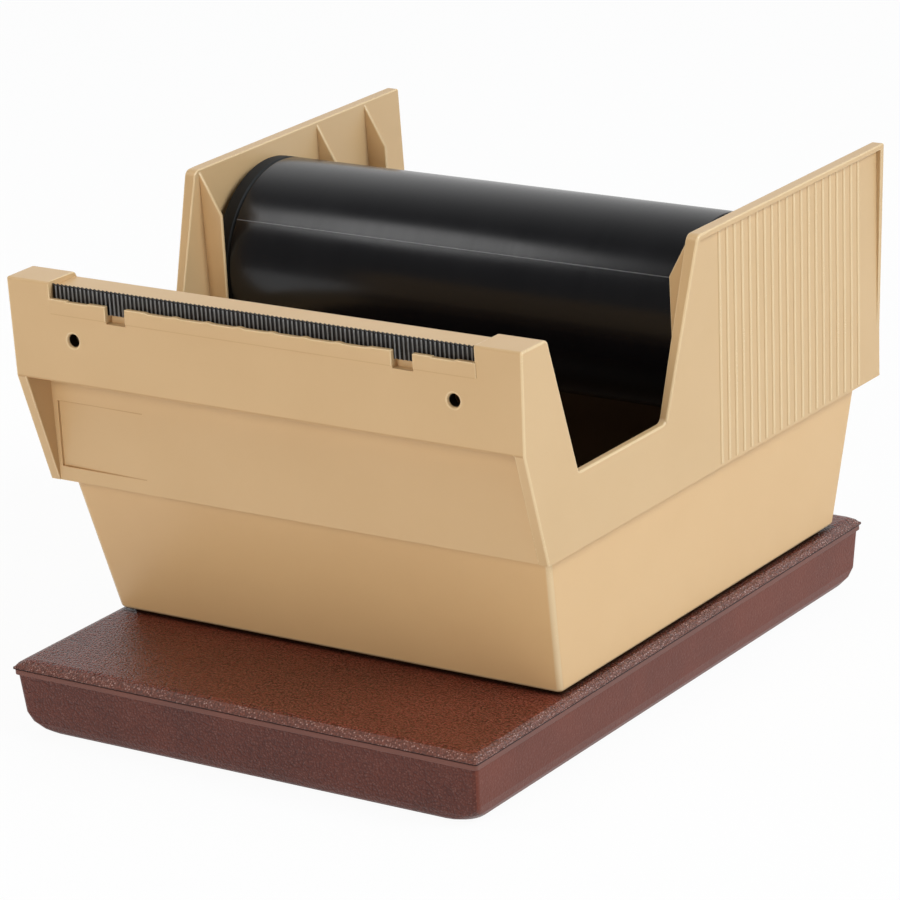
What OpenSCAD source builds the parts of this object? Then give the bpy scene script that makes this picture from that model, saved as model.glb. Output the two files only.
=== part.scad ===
// Counter-top dispenser for several rolls of tape on one drum.
// X runs left to right, Y front to back, Z up. The origin is the middle of the footprint, on the table.

/* [Base] */
// Width of the base across its lip
base_w = 185.8; // [176:0.2:210]
// Length of the base along its lip
base_l = 245.8; // [240:0.2:270]
// Height that the rubber feet lift the tray off the table
foot_stand = 1.2; // [0.8:0.1:3]
// Diameter of a rubber foot
foot_d = 18; // [12:0.5:20]
// Depth of a foot's recess in the tray
foot_recess = 1.8; // [1:0.1:2]
// Height of the tray from its underside to its rim
tray_h = 20; // [19:0.5:30]
// Thickness of the tray's walls and floor
tray_wall = 3; // [2.5:0.1:4]
// Distance that the tray's walls draw in from rim to floor
tray_draft = 1; // [0.5:0.1:2]
// Distance that the tray's bottom edge is rounded in along its sides
tray_side_round = 4.4; // [1.5:0.1:5]
// Distance that the tray's bottom edge is rounded in along its front and rear
tray_end_round = 1.8; // [0.8:0.1:5]
// Height of that rounding
tray_round_h = 6.3; // [3:0.1:8]
// Radius of the tray's corners at its underside
tray_corner_r = 9; // [6:0.5:12]
// Overhang of the cover's edge beyond the tray
lip_out = 1.1; // [1:0.1:3]
// Distance that the cover's lip is set in under its crowned edge
lip_in = 0.4; // [0.3:0.1:0.8]
// Height of the groove between the lip and the crowned edge
groove_h = 0.4; // [0.2:0.1:0.8]
// Thickness of the cover's lip
lip_t = 2.3; // [1.5:0.1:4]
// Rise of the cover's crowned border from the lip to the plateau
crown_h = 2.7; // [2:0.1:6]
// Width of the crowned border
crown_w = 4.2; // [2:0.1:8]
// Thickness of the cover's plateau
cover_t = 3; // [2:0.1:4]
// Thickness of the cast iron ballast plate
ballast_t = 8; // [5:0.5:13]
// Distance of the base screws and feet in from the base's edges
base_screw_in = 20.6; // [19.6:0.1:28]

/* [Lower tub] */
// Step in from the frame's side to the tub's side at the seam
tub_set = 4.2; // [4:0.1:9]
// Distance that each of the tub's sides leans in from seam to foot
tub_side_lean = 5.9; // [4:0.1:12]
// Height of the tub from its foot to the seam
tub_h = 51.2; // [40:0.2:70]
// Distance that the tub's front leans back from seam to foot
tub_front_lean = 12; // [4:0.2:16]
// Distance that the tub's rear leans in from seam to foot
tub_rear_lean = 8; // [2:0.2:16]
// Step back from the frame's front to the tub's front at the seam
skirt_step = 6; // [4.5:0.1:8]
// Thickness of the tub's walls and floor
tub_wall = 3; // [2:0.1:4]
// Radius of the tub's upright corners
tub_corner_r = 2.2; // [1:0.1:8]
// Height of the shadow gap under the tub's edge
shadow_gap = 0.7; // [0.4:0.1:2]
// Distance that the tub's footing is set in behind that gap
footing_in = 3; // [1:0.1:6]
// Height that the tub's rim nests inside the frame
nest_h = 6; // [5:0.1:10]
// Thickness of the flange around the tub's rim
flange_t = 3; // [2:0.1:4.5]

/* [Upper frame] */
// Length of the frame from its front panel to the back of its fins
frame_d = 225; // [223:0.5:240]
// Distance of the front panel behind the front of the base
panel_set = 24.4; // [15:0.2:35]
// Outer width of the frame at the seam
seam_w = 199; // [197:0.2:210]
// Outward lean of each cheek, in degrees
cheek_lean = 1.35; // [0.5:0.05:2]
// Thickness of a cheek at the seam
cheek_t = 2.8; // [2.4:0.1:3.4]
// Thickness of a cheek at the fin's top
cheek_top_t = 2.6; // [2:0.1:3]
// Width of a cheek's front edge beside the lower tier
strip_w = 4; // [3.2:0.1:5]
// Thickness of the front panels, shelf and rear wall
panel_t = 3; // [2.4:0.1:3.4]
// Height of the lower front tier, from the seam to the overhang
tier_h = 39.6; // [30:0.2:44]
// Depth of the lower front tier behind the front panel
tier_in = 12.1; // [8:0.1:14]
// Height of the posts above the seam
post_h = 73.6; // [66:0.2:78]
// Depth of a post, front to back
post_d = 14.5; // [12:0.1:20]
// Height of the shelf above the seam
shelf_h = 71.7; // [64:0.1:72.4]
// Height of the fins above the seam
fin_h = 83.9; // [78:0.1:95]
// Height of the notch floor above the seam
notch_h = 25.5; // [18:0.1:34]
// Front of the notch floor, behind the front panel
notch_front = 30.5; // [24:0.5:40]
// Back of the notch floor, behind the front panel
notch_back = 82.6; // [70:0.2:90]
// Front of a fin at its top, behind the front panel
fin_front = 101.3; // [90:0.1:102]
// Height that the fin's rim stands proud at the top
rim_proud = 1.95; // [0.6:0.05:3]
// Width of the rim along the fin's front, top and back
rim_w = 2; // [1.2:0.1:4]
// Height of the rear wall above the seam
rear_wall_h = 36; // [15:0.5:50]
// Distance of the rear wall's inner face behind the front panel
rear_wall_in = 217; // [212:0.5:219]

/* [Beads and ribs] */
// Number of upright beads on each fin
bead_count = 20; // [4:1:22]
// First bead, behind the front panel
bead_first = 117.6; // [110:0.1:120]
// Spacing of the beads
bead_pitch = 4.86; // [3:0.01:5]
// Radius of a bead
bead_r = 0.8; // [0.6:0.1:1.5]
// Height that a bead stands proud of the fin
bead_proud = 0.4; // [0.2:0.05:0.55]
// First rib inside each fin, behind the front panel
rib_first = 103.85; // [103:0.05:108]
// Third rib inside each fin, behind the front panel
rib_third = 203.5; // [190:0.5:206]
// Thickness of a rib
rib_t = 1.3; // [1:0.1:3]
// Distance that a rib reaches in from the cheek's inner face at the seam
rib_reach = 6.2; // [5:0.1:8]
// Drop of a rib's sloping lead-in below the fin's top
rib_lead = 15.8; // [6:0.1:20]

/* [Blade] */
// Distance of the blade's ends in from the frame's sides at the seam
blade_in = 16; // [13:0.1:24]
// Number of teeth along the blade
tooth_count = 98; // [60:1:120]
// Thickness of the blade's sheet
blade_t = 0.6; // [0.4:0.05:0.8]
// Height of the blade's teeth above the shelf
tooth_rise = 1; // [0.4:0.1:2]
// Height of the blade
blade_h = 7.9; // [6.5:0.1:12]
// Depth of each pressed tooth, front to back
tooth_step = 0.55; // [0.2:0.05:0.9]
// Drop of each tooth's slanted top
tooth_drop = 0.6; // [0.2:0.05:1.2]
// Height of the retaining lip's top above the seam
keeper_h = 68.1; // [66:0.1:70]
// Height of the retaining lip
keeper_rise = 5; // [4:0.1:5.5]
// Distance that the retaining lip stands proud of the panel
keeper_proud = 0.4; // [0.2:0.05:1]
// Thickness of the retaining lip
keeper_t = 1.9; // [1.2:0.1:2.5]
// Distance of a lip notch in from the blade's end
keeper_notch_in = 27; // [16:0.5:40]
// Width of a lip notch
keeper_notch_w = 8; // [4:0.5:16]
// Distance of a front hole in from the blade's end
front_hole_in = 8.5; // [6:0.1:14]
// Height of the front holes above the seam
front_hole_h = 54.6; // [48:0.1:58]
// Diameter of the front holes
front_hole_d = 4.4; // [3:0.1:6]

/* [Drum] */
// Diameter of the drum, which passes freely through a 3 inch tape core
drum_d = 68; // [60:0.1:72]
// Play of the drum between the ribs on its two sides
drum_side_gap = 0.5; // [0.3:0.1:2]
// Play of an end block between the ribs in front of it and behind it
block_gap = 0.3; // [0.2:0.05:0.5]
// Distance from an end block to the cheek at the seam
block_end_gap = 0.5; // [0.3:0.1:2]
// Distance of an end block's flat foot below the axis
block_drop = 27; // [22:0.5:30]
// Thickness of the ledge under an end block
ledge_t = 3; // [2:0.1:4]
// Wall of the drum's tube
drum_wall = 3; // [2:0.1:5]
// Height of the drum's axis above the seam
drum_h = 45.5; // [45:0.1:52]
// Length of the plug in each end of the drum
plug_l = 14; // [8:0.5:30]
// Depth of a plug's face inside the drum's end
plug_in = 3.2; // [2.6:0.1:6]
// Diameter of the axle
axle_d = 12; // [8:0.5:14]
// Depth of the axle's end inside an end block's outer face
axle_in = 1; // [0.5:0.1:2]
// Thickness of a drag washer
washer_t = 1; // [0.5:0.1:1.2]
// Diameter of a drag washer
washer_d = 30; // [20:0.5:40]
// Thickness of a retaining clip
clip_t = 1; // [0.6:0.1:1.2]
// Diameter of a retaining clip
clip_d = 20; // [16:0.5:24]
// Depth of the clip's groove in the axle
groove_deep = 1; // [0.5:0.1:1.5]

/* [Screws and clearances] */
// Diameter of a screw's shank
screw_d = 4; // [3:0.1:4.2]
// Diameter of a screw's head
screw_head_d = 7.6; // [6:0.1:8]
// Height of a screw's head
screw_head_h = 2.2; // [1.5:0.1:2.4]
// Length of the screws that hold the frame
frame_screw_l = 16; // [10:0.5:18]
// Length of the screws that hold the tub
tub_screw_l = 14; // [8:0.5:14]
// Length of the screws that hold the tray
base_screw_l = 12; // [8:0.5:14]
// Outer diameter of a screw boss
boss_d = 10; // [9:0.5:11]
// Distance of a tub screw in from the edges of the tub's foot
tub_screw_in = 27; // [16:0.5:40]
// Radial play around a screw that passes through
through_gap = 0.25; // [0.1:0.05:0.4]
// Radial play around a screw in its pilot hole
pilot_gap = 0.05; // [0.02:0.01:0.1]
// Play of pieces that nest in one another
nest_gap = 0.3; // [0.2:0.05:0.4]
// Radial play of the drum on its axle
run_gap = 0.05; // [0.02:0.01:0.1]

/* [Hidden] */
$fn = 48;

// Colours of the mouldings and hardware
beige = [0.80, 0.67, 0.50];
brown = [0.37, 0.22, 0.18];
drum_black = [0.10, 0.10, 0.11];
steel = [0.66, 0.67, 0.69];
blade_grey = [0.30, 0.28, 0.27];
rubber_black = [0.12, 0.12, 0.12];
fibre_tan = [0.55, 0.42, 0.30];

// A little extra that lets one solid bite into the next or a cut pass a face
bite = 1;

// Levels, from the table up
tray_z = foot_stand;
tray_floor_z = tray_z + tray_wall;
rim_z = tray_z + tray_h;
lip_z = rim_z + lip_t;
plateau_z = lip_z + crown_h;
cover_under_z = plateau_z - cover_t;
tub_foot_z = plateau_z + shadow_gap;
tub_floor_z = tub_foot_z + tub_wall;
seam_z = tub_foot_z + tub_h;
nest_z = seam_z + nest_h;
axis_z = seam_z + drum_h;

// Widths that follow the frame's width at the seam
tub_seam_w = seam_w - 2 * tub_set;
tub_foot_w = tub_seam_w - 2 * tub_side_lean;
blade_l = seam_w - 2 * blade_in;
keeper_notch_x = blade_l / 2 - keeper_notch_in;
front_hole_x = blade_l / 2 - front_hole_in;
rib_clear = seam_w / 2 - cheek_t - rib_reach;
drum_l = 2 * (rib_clear - drum_side_gap);
block_out = seam_w / 2 - cheek_t - block_end_gap;
axle_l = 2 * (block_out - axle_in);

// The drum's end blocks stand between the first rib and the second
drum_back = rib_first + rib_t / 2 + block_gap + drum_d / 2;
rib_second = drum_back + drum_d / 2 + block_gap + rib_t / 2;

// Places along Y
overall_d = panel_set + frame_d;
base_y = -overall_d / 2 + base_l / 2;
panel_y = -overall_d / 2 + panel_set;
axis_y = panel_y + drum_back;
rear_wall_y = panel_y + rear_wall_in;

// The tub's front and rear faces at the seam and at the foot
tub_front_seam = panel_y + tier_in + skirt_step;
tub_front_foot = tub_front_seam + tub_front_lean;
tub_rear_seam = rear_wall_y - 1.5;
tub_rear_foot = tub_rear_seam - tub_rear_lean;
tub_mid_y = (tub_front_foot + tub_rear_foot) / 2;

// Screws under the tub and under the base
tub_screw_x = tub_foot_w / 2 - tub_screw_in;
tub_screw_y = (tub_rear_foot - tub_front_foot) / 2 - tub_screw_in;
base_screw_x = base_w / 2 - base_screw_in;
base_screw_y = base_l / 2 - base_screw_in;

// Screws through the frame's corner lugs
lug_x = tub_seam_w / 2 - tub_wall - boss_d / 2 + 1.5;
lug_front_y = tub_front_seam + tub_wall + boss_d / 2 - 0.5;
lug_rear_y = tub_rear_seam - tub_wall - boss_d / 2 + 0.5;
lug_t = 3.5;
lug_reach = boss_d / 2 + 1;

// A cheek's inner face leans more than its outer face
inner_lean = atan(tan(cheek_lean) + (cheek_t - cheek_top_t) / fin_h);

// Half-width between the cheeks' inner faces at a height
function cheek_in(z) = seam_w / 2 - cheek_t + (z - seam_z) * tan(inner_lean);

// Points of a closed outline whose corners [x, y, r] are rounded by r
function corner_arc(a, b, c, r, steps = 5) =
    let (
        u = (a - b) / norm(a - b),
        v = (c - b) / norm(c - b),
        half = acos(min(1, max(-1, u * v))) / 2,
        centre = b + (u + v) / norm(u + v) * r / sin(half),
        p = b + u * r / tan(half) - centre,
        q = b + v * r / tan(half) - centre,
        from = atan2(p[1], p[0]),
        turn = atan2(p[0] * q[1] - p[1] * q[0], p * q)
    )
    [for (i = [0:steps]) centre + r * [cos(from + turn * i / steps), sin(from + turn * i / steps)]];

function rounded(pts) = [
    for (i = [0:len(pts) - 1])
        let (
            n = len(pts),
            a = [pts[(i + n - 1) % n][0], pts[(i + n - 1) % n][1]],
            b = [pts[i][0], pts[i][1]],
            c = [pts[(i + 1) % n][0], pts[(i + 1) % n][1]],
            r = pts[i][2]
        )
        each (r > 0 ? corner_arc(a, b, c, r) : [b])
];

// A side-view outline [y, z], extruded along +X by t
module side_plate(pts, t) {
    rotate([90, 0, 90]) linear_extrude(t) polygon(pts);
}

// A front-view outline [x, z], extruded along +Y by t
module front_plate(pts, t) {
    translate([0, t, 0]) rotate([90, 0, 0]) linear_extrude(t) polygon(pts);
}

// A rectangle with round corners, centred
module round_rect(w, l, r) {
    square([w - 2 * r, l], center = true);
    square([w, l - 2 * r], center = true);
    for (sx = [-1, 1], sy = [-1, 1]) translate([sx * (w / 2 - r), sy * (l / 2 - r)]) circle(r);
}

module round_slab(w, l, r, h) {
    linear_extrude(h) round_rect(w, l, r);
}

// Both sides of the middle plane
module both_sides() {
    children();
    mirror([1, 0, 0]) children();
}

// A pan-head screw that points down, its head's seat at the origin
module screw(l) {
    cylinder(d = screw_head_d, h = screw_head_h * 0.55);
    translate([0, 0, screw_head_h * 0.55])
        cylinder(d1 = screw_head_d, d2 = screw_head_d * 0.62, h = screw_head_h * 0.45);
    translate([0, 0, -l]) cylinder(d = screw_d, h = l);
}

module frame_screw_places() {
    for (sx = [-1, 1], y = [lug_front_y, lug_rear_y]) translate([sx * lug_x, y, nest_z]) children();
}

module tub_screw_places() {
    for (sx = [-1, 1], sy = [-1, 1])
        translate([sx * tub_screw_x, tub_mid_y + sy * tub_screw_y, cover_under_z]) children();
}

module base_screw_places() {
    for (sx = [-1, 1], sy = [-1, 1])
        translate([sx * base_screw_x, base_y + sy * base_screw_y, 0]) children();
}

// Side view of a cheek, measured from the panel's face and the seam
tip_back = tier_in - 0.3;
post_front_r = 0.8;
post_back_r = 2;
cheek_outline = rounded([
    [tip_back, 0, 0],
    [0, tier_h, 0],
    [0, post_h, post_front_r],
    [post_d, post_h, post_back_r],
    [notch_front, notch_h, 1.5],
    [notch_back, notch_h, 2.5],
    [fin_front, fin_h, 3],
    [frame_d, fin_h, 0.8],
    [frame_d, 0, 0.8]
]);

// The rim's face leans so that it is proud at the fin's top and sinks into the cheek near the seam
rim_low = -0.5;
rim_lean = atan(tan(cheek_lean) + (rim_proud - rim_low) / fin_h);
far = 400;

// Everything outside a leaning plane that crosses the seam at x, and everything inside one
module beyond(x, lean) {
    translate([x, 0, seam_z]) rotate([0, lean, 0])
        translate([0, -far, -far]) cube([far, 2 * far, 2 * far]);
}

module within(x, lean) {
    translate([x, 0, seam_z]) rotate([0, lean, 0])
        translate([-far, -far, -far]) cube([far, 2 * far, 2 * far]);
}

// A side-view outline made into the right-hand wall between two leaning planes
module leaning_wall(x_out, lean_out, x_in, lean_in) {
    difference() {
        translate([seam_w / 2 - 15, panel_y, seam_z]) rotate([90, 0, 90]) linear_extrude(30) children();
        beyond(x_out, lean_out);
        within(x_in, lean_in);
    }
}

// The rim's outline: a strip along the fin's front, top and back
fin_run = (fin_front - notch_back) / (fin_h - notch_h);
module rim_outline() {
    strip = rim_w * sqrt(1 + fin_run * fin_run);
    low = notch_h + 0.6;
    difference() {
        polygon(cheek_outline);
        polygon([
            [notch_back + strip + fin_run * (low - bite - notch_h), low - bite],
            [notch_back + strip + fin_run * (fin_h - rim_w - notch_h), fin_h - rim_w],
            [frame_d - rim_w, fin_h - rim_w],
            [frame_d - rim_w, low - bite]
        ]);
        translate([-bite, -bite]) square([frame_d - rim_w + bite, low + bite]);
        translate([-bite, -bite]) square([notch_back - 5 + bite, fin_h]);
    }
}

module cheek() {
    bead_top = fin_h - rim_w / 2;
    leaning_wall(seam_w / 2, cheek_lean, seam_w / 2 - cheek_t, inner_lean) polygon(cheek_outline);
    leaning_wall(seam_w / 2 + rim_low, rim_lean, seam_w / 2 - 1.2, cheek_lean) rim_outline();
    leaning_wall(seam_w / 2 - 1.4, cheek_lean, seam_w / 2 - strip_w, cheek_lean)
        polygon([[tip_back, 0], [0, tier_h], [tier_in + 1.7, tier_h], [tier_in + 1.7, 0]]);
    translate([seam_w / 2, panel_y, seam_z]) rotate([0, cheek_lean, 0])
        for (i = [0:bead_count - 1])
            translate([bead_proud - bead_r, bead_first + i * bead_pitch, bite])
                cylinder(r = bead_r, h = bead_top - bite, $fn = 16);
}

// A rib inside a fin: a sloping lead-in, then an upright edge beside the drum
module fin_rib(y) {
    top_z = seam_z + fin_h - bite;
    lead_z = seam_z + fin_h - rib_lead;
    translate([0, panel_y + y - rib_t / 2, 0])
        front_plate([
            [rib_clear, nest_z],
            [rib_clear, lead_z],
            [cheek_in(top_z), top_z],
            [cheek_in(top_z) + bite, top_z],
            [cheek_in(nest_z) + bite, nest_z]
        ], rib_t);
}

// The ledge between the first two ribs, which carries an end block
module ledge() {
    ledge_z = axis_z - block_drop - run_gap;
    translate([rib_clear, panel_y + rib_first, ledge_z - ledge_t])
        cube([cheek_in(ledge_z) + bite - rib_clear, rib_second - rib_first, ledge_t]);
}

// Side view of the bridge between the cheeks: face, overhang, lower tier, shelf and sloping back
back_run = (notch_front - post_d) / (post_h - notch_h);
module bridge_section(top, front_r, back_r) {
    back_top = post_d + back_run * (post_h - top);
    back_low = notch_front - back_run * bite;
    back_t = panel_t * sqrt(1 + back_run * back_run);
    translate([panel_y, seam_z]) difference() {
        polygon(rounded([
            [tier_in, 0, 0],
            [tier_in, tier_h, 0],
            [0, tier_h, 0],
            [0, top, front_r],
            [back_top, top, back_r],
            [back_low, notch_h + bite, 0],
            [back_low - back_t, notch_h + bite, 0],
            [tier_in + panel_t, notch_h + bite, 0],
            [tier_in + panel_t, 0, 0]
        ]));
        polygon([
            [tier_in + panel_t, notch_h],
            [tier_in + panel_t, tier_h + panel_t],
            [panel_t * 1.6, tier_h + panel_t],
            [panel_t * 1.6, blade_seat_h - panel_t],
            [back_top + back_run * panel_t * 2 - back_t, blade_seat_h - panel_t],
            [back_low - back_t + back_run * bite, notch_h]
        ]);
    }
}

module bridge_bar(top, front_r, back_r, from, to) {
    translate([from, 0, 0]) rotate([90, 0, 90])
        linear_extrude(to - from) bridge_section(top, front_r, back_r);
}

// The blade's seat
blade_seat_h = shelf_h + tooth_rise - blade_h;
blade_slot_w = blade_t + tooth_step + 2 * pilot_gap;
blade_front = keeper_t - keeper_proud;
post_in = blade_l / 2 + 0.15;

// One shallow dip in the top of the blade's retaining lip
dip_pitch = blade_l / 13;
module keeper_dip(x) {
    dip_l = dip_pitch * 0.66;
    dip_deep = 0.35;
    translate([x - dip_l / 2, panel_y - keeper_proud - bite, seam_z + keeper_h - dip_deep])
        cube([dip_l, blade_front + keeper_proud + bite + 0.2, 2 * bite]);
}

module bridge() {
    bar_half = cheek_in(seam_z + post_h) + bite / 2;
    keeper_low = keeper_h - keeper_rise;
    difference() {
        union() {
            bridge_bar(shelf_h, 0, 1, -post_in - bite, post_in + bite);
            both_sides() bridge_bar(post_h, post_front_r, post_back_r, post_in, bar_half);
            translate([-post_in - bite / 2, panel_y, seam_z])
                side_plate([
                    [bite, keeper_low],
                    [-keeper_proud, keeper_low],
                    [-keeper_proud, keeper_h],
                    [bite, keeper_h]
                ], 2 * post_in + bite);
        }
        // The slot that the blade stands in, and the clear space in front of its teeth
        translate([-post_in, panel_y + blade_front, seam_z + blade_seat_h])
            cube([2 * post_in, blade_slot_w, blade_h + bite]);
        translate([-post_in, panel_y - keeper_proud - bite, seam_z + keeper_h])
            cube([2 * post_in, blade_front + keeper_proud + 2 * bite, post_h]);
        // The two notches through the lip
        both_sides()
            translate([keeper_notch_x - keeper_notch_w / 2, panel_y - keeper_proud - bite,
                       seam_z + blade_seat_h - 2.6])
                cube([keeper_notch_w, blade_front + blade_slot_w + keeper_proud + bite + 0.3, blade_h]);
        // Shallow dips along the lip's top
        for (i = [-3:3]) keeper_dip(i * dip_pitch);
        both_sides() keeper_dip((keeper_notch_x + keeper_notch_w / 2 + post_in) / 2);
        // The two holes through the face
        both_sides() translate([front_hole_x, panel_y, seam_z + front_hole_h]) rotate([-90, 0, 0]) {
            translate([0, 0, -bite]) cylinder(d = front_hole_d, h = panel_t * 1.6 + 2 * bite);
            translate([0, 0, -0.1]) cylinder(d1 = front_hole_d + 1, d2 = front_hole_d - 0.6, h = 0.9);
        }
    }
}

// The shallow blank panel at the left of the lower tier, deepest at its left edge
plate_l = 35;
plate_h = 23;
plate_deep = 0.9;
module blank_panel_cut() {
    translate([-seam_w / 2 + strip_w + 1.4, panel_y + tier_in, seam_z + 5])
        linear_extrude(plate_h) polygon([[0, -0.05], [plate_l, -0.05], [0, plate_deep]]);
}

// A lug in each corner, which sits on the tub's flange and takes a screw
module lug(y) {
    y_in = y < 0 ? panel_y + tier_in + panel_t - bite : y - lug_reach;
    y_out = y < 0 ? y + lug_reach : rear_wall_y + bite;
    translate([lug_x - lug_reach, y_in, nest_z])
        cube([cheek_in(nest_z) + bite - lug_x + lug_reach, y_out - y_in, lug_t]);
}

module rear_wall() {
    half = cheek_in(seam_z) + cheek_t / 2;
    translate([-half, rear_wall_y, seam_z]) cube([2 * half, panel_t, rear_wall_h]);
}

module upper_frame() {
    color(beige) difference() {
        union() {
            both_sides() {
                cheek();
                for (y = [rib_first, rib_second, rib_third]) fin_rib(y);
                ledge();
                lug(lug_front_y);
                lug(lug_rear_y);
            }
            bridge();
            rear_wall();
        }
        frame_screw_places() translate([0, 0, -bite])
            cylinder(r = screw_d / 2 + through_gap, h = lug_t + 2 * bite);
        blank_panel_cut();
    }
}

// The tub's outer faces follow straight lines from the foot through the seam
function along(foot, seam, z) = foot + (seam - foot) * (z - tub_foot_z) / tub_h;

module tub_slice(z, inset) {
    w = along(tub_foot_w, tub_seam_w, z) - 2 * inset;
    front = along(tub_front_foot, tub_front_seam, z) + inset;
    rear = along(tub_rear_foot, tub_rear_seam, z) - inset;
    r = max(0.5, tub_corner_r - inset);
    translate([0, (front + rear) / 2, z]) round_slab(w, rear - front, r, 0.01, $fn = 24);
}

module lower_tub() {
    flange_w = seam_w - 2 * cheek_t - 2 * nest_gap;
    flange_front = panel_y + tier_in + panel_t + nest_gap;
    flange_rear = rear_wall_y - nest_gap;
    boss_top = cover_under_z + tub_screw_l + 2 * bite;
    footing_w = tub_foot_w - 2 * footing_in;
    footing_l = tub_rear_foot - tub_front_foot - 2 * footing_in;
    color(beige) difference() {
        union() {
            difference() {
                union() {
                    hull() {
                        tub_slice(tub_foot_z, 1);
                        tub_slice(tub_foot_z + 1, 0);
                        tub_slice(nest_z - 0.01, 0);
                    }
                    translate([-flange_w / 2, flange_front, nest_z - flange_t])
                        cube([flange_w, flange_rear - flange_front, flange_t]);
                }
                hull() {
                    tub_slice(tub_floor_z, tub_wall);
                    tub_slice(nest_z + bite, tub_wall);
                }
            }
            translate([0, tub_mid_y, plateau_z])
                round_slab(footing_w, footing_l, tub_corner_r, shadow_gap + bite);
            tub_screw_places() translate([0, 0, tub_foot_z + bite - cover_under_z])
                cylinder(d = boss_d, h = boss_top - tub_foot_z - bite);
            frame_screw_places() translate([0, 0, -frame_screw_l])
                cylinder(d = boss_d, h = frame_screw_l);
        }
        tub_screw_places() cylinder(r = screw_d / 2 + pilot_gap, h = tub_screw_l + bite);
        frame_screw_places() translate([0, 0, -frame_screw_l + 1.5])
            cylinder(r = screw_d / 2 + pilot_gap, h = frame_screw_l + bite);
    }
}

// The blade: each tooth is pressed forward at its right side and has a slanted top
module blade() {
    pitch = blade_l / tooth_count;
    rise = pitch * 0.12;
    plan = concat(
        [for (i = [0:tooth_count - 1]) each [
            [i * pitch, tooth_step],
            [(i + 1) * pitch - rise, 0]
        ]],
        [[blade_l, tooth_step]],
        [[blade_l, tooth_step + blade_t]],
        [[0, tooth_step + blade_t]]
    );
    face = concat(
        [[0, 0]],
        [[blade_l, 0]],
        [for (i = [tooth_count - 1:-1:0]) each [
            [(i + 1) * pitch - 0.001, blade_h - tooth_drop],
            [i * pitch, blade_h]
        ]]
    );
    color(blade_grey)
        translate([-blade_l / 2, panel_y + blade_front + pilot_gap, seam_z + blade_seat_h])
            intersection() {
                linear_extrude(blade_h + bite) polygon(plan);
                translate([0, -bite, 0]) front_plate(face, tooth_step + blade_t + 2 * bite);
            }
}

// Drum and axle, about the drum's axis
module on_axis() {
    translate([0, axis_y, axis_z]) children();
}

module along_x(l) {
    rotate([0, 90, 0]) translate([0, 0, -l / 2]) children();
}

drum_in = drum_d - 2 * drum_wall;
plug_face = drum_l / 2 - plug_in;
washer_play = 0.1;

module drum_tube() {
    edge = 0.8;
    color(drum_black) on_axis() rotate([0, 90, 0]) rotate_extrude($fn = 96)
        polygon([
            [drum_in / 2, -drum_l / 2],
            [drum_d / 2 - edge, -drum_l / 2],
            [drum_d / 2, -drum_l / 2 + edge],
            [drum_d / 2, drum_l / 2 - edge],
            [drum_d / 2 - edge, drum_l / 2],
            [drum_in / 2, drum_l / 2]
        ]);
}

module hub_plug(side) {
    plug_d = drum_in - 2 * pilot_gap;
    hub_d = axle_d + 10;
    web_t = 4;
    color(drum_black) on_axis() rotate([0, side * 90, 0]) translate([0, 0, plug_face - plug_l])
        difference() {
            union() {
                difference() {
                    cylinder(d = plug_d, h = plug_l, $fn = 96);
                    translate([0, 0, -bite]) cylinder(d = plug_d - 6, h = plug_l - web_t + bite, $fn = 96);
                }
                cylinder(d = hub_d, h = plug_l);
            }
            translate([0, 0, -bite]) cylinder(r = axle_d / 2 + run_gap, h = plug_l + 2 * bite);
        }
}

module axle() {
    groove_x = plug_face + washer_play + washer_t;
    color(steel) on_axis() difference() {
        along_x(axle_l) cylinder(d = axle_d, h = axle_l);
        both_sides() translate([groove_x, 0, 0]) rotate([0, 90, 0]) difference() {
            cylinder(d = axle_d + 2, h = clip_t + pilot_gap);
            translate([0, 0, -bite]) cylinder(d = axle_d - 2 * groove_deep, h = clip_t + 2 * bite);
        }
    }
}

// A fixed disc as wide as the drum, with a flat foot; it drops between the ribs and holds the axle's end
module end_block(side) {
    edge = 0.8;
    from = drum_l / 2 + block_gap;
    color(drum_black) on_axis() difference() {
        rotate([0, side * 90, 0]) rotate_extrude($fn = 96)
            polygon([
                [axle_d / 2 + pilot_gap, from],
                [drum_d / 2 - edge, from],
                [drum_d / 2, from + edge],
                [drum_d / 2, block_out - edge],
                [drum_d / 2 - edge, block_out],
                [axle_d / 2 + pilot_gap, block_out]
            ]);
        translate([side > 0 ? from - bite : -block_out - bite, -drum_d, -block_drop - drum_d])
            cube([block_out - from + 2 * bite, 2 * drum_d, drum_d]);
    }
}

module drag_washer(side) {
    color(fibre_tan) on_axis() rotate([0, side * 90, 0]) translate([0, 0, plug_face + washer_play])
        difference() {
            cylinder(d = washer_d, h = washer_t - pilot_gap);
            translate([0, 0, -bite]) cylinder(r = axle_d / 2 + run_gap, h = washer_t + 2 * bite);
        }
}

// A snap ring with a gap at its foot, pressed into the axle's groove
module retaining_clip(side) {
    color(steel) on_axis() rotate([0, side * 90, 0]) translate([0, 0, plug_face + washer_play + washer_t])
        difference() {
            cylinder(d = clip_d, h = clip_t);
            translate([0, 0, -bite])
                cylinder(r = axle_d / 2 - groove_deep + pilot_gap, h = clip_t + 2 * bite);
            translate([side > 0 ? 0 : -clip_d, -axle_d / 3, -bite])
                cube([clip_d, axle_d / 1.5, clip_t + 2 * bite]);
        }
}

module frame_screws() {
    color(steel) frame_screw_places() translate([0, 0, lug_t]) screw(frame_screw_l);
}

module tub_screws() {
    color(steel) tub_screw_places() mirror([0, 0, 1]) screw(tub_screw_l);
}

// The tray's cavity is set in from the lip's outline by the lip, the draft and the wall
cavity_in = lip_out + tray_draft + tray_wall;
pad_d = boss_d + 6;
head_pocket_d = screw_head_d + 1;
screw_seat_z = tray_z + foot_recess + screw_head_h + 0.2;
pad_z = screw_seat_z + 2.2;

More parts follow.
